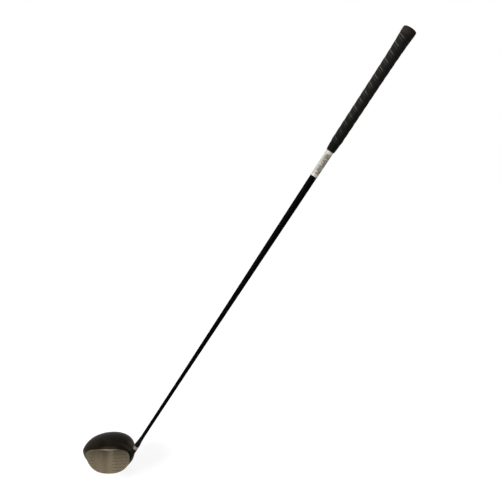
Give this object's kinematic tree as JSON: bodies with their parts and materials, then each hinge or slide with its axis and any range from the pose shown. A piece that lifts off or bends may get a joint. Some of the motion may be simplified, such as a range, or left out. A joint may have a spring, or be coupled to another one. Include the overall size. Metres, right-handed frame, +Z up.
{
  "type": "golf driver",
  "caption": "Golf driver at address: a hollow metal head on an adjustable hosel, a tapered carbon shaft and a wrapped rubber grip.",
  "frame": {"origin": "on the shaft's axis, 115 mm below the butt end, where the hands hold the grip", "axes": "+Z up at address; the face looks along -Y, the toe points to -X and the shaft leans towards +X at a lie of 58 degrees; the sole is at z = -0.8718 m"},
  "size_m": [0.7099, 0.1088, 0.9757],
  "materials": {
    "crown": "gloss",
    "body": "gloss",
    "face": "satin",
    "badge": "satin",
    "weight": "satin",
    "seal": "matte",
    "steel": "satin",
    "sleeve": "satin",
    "ferrule": "gloss",
    "shaft": "gloss",
    "foam": "matte",
    "label": "satin",
    "tape": "matte",
    "grip": "matte",
    "cap": "matte"
  },
  "bodies": {
    "shaft_assembly": {"shaft": "shaft", "shaft_sleeve": "sleeve", "ferrule": "ferrule", "tip_plug": "foam", "shaft_label": "label", "grip_tape": "tape", "grip_core": "grip", "grip_wrap": "grip", "grip_collar": "grip", "grip_cap": "cap"},
    "head": {"body_shell": "body", "crown_shell": "crown", "face_plate": "face", "sole_badge": "badge", "weight_seal": "seal"},
    "hosel_screw": {"hosel_screw": "steel", "screw_washer": "steel", "screw_retainer": "steel"},
    "rear_weight": {"rear_weight": "weight"}
  },
  "joints": [
    {"name": "head_release", "type": "slide", "parent": "shaft_assembly", "child": "head", "axis": [-0.5299, 0, -0.848], "range_m": [0, 0.045]},
    {"name": "screw_turn", "type": "hinge", "parent": "head", "child": "hosel_screw", "pos_m": [-0.53575, 0, -0.85738], "axis": [-0.5299, 0, -0.848], "continuous": true},
    {"name": "weight_turn", "type": "hinge", "parent": "head", "child": "rear_weight", "pos_m": [-0.57476, 0.058, -0.86638], "axis": [0, 0.4067, -0.9135], "continuous": true}
  ]
}
